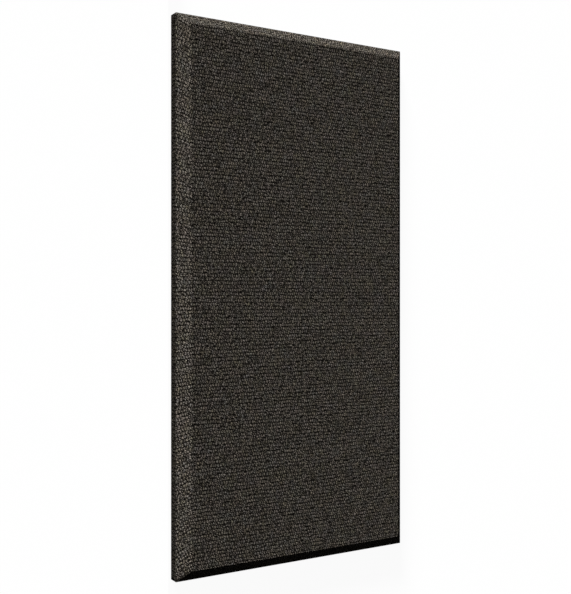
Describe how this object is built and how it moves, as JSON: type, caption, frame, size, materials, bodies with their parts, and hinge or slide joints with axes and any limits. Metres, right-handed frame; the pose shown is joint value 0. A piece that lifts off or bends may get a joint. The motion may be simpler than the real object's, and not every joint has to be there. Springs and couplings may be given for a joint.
{
  "type": "fabric-wrapped acoustic ceiling panel",
  "caption": "Flat rectangular sound-absorbing panel with bevelled front edges, a rigid glass-fibre board wrapped in coarse woven cloth that is turned in onto the back.",
  "frame": {"origin": "middle of the underside, in the plane that the hem on the back rests on", "axes": "+Z out of the front face, +Y along the panel's length, +X across its width, to the right in the picture"},
  "size_m": [0.6096, 1.2192, 0.0508],
  "materials": {
    "glass_fibre_board": "matt, pressed glass wool",
    "woven_cloth": "matt, coarse slubbed plain weave, heathered charcoal brown"
  },
  "bodies": {
    "root": {"core_board": "glass_fibre_board", "fabric_wrap": "woven_cloth"}
  },
  "joints": []
}
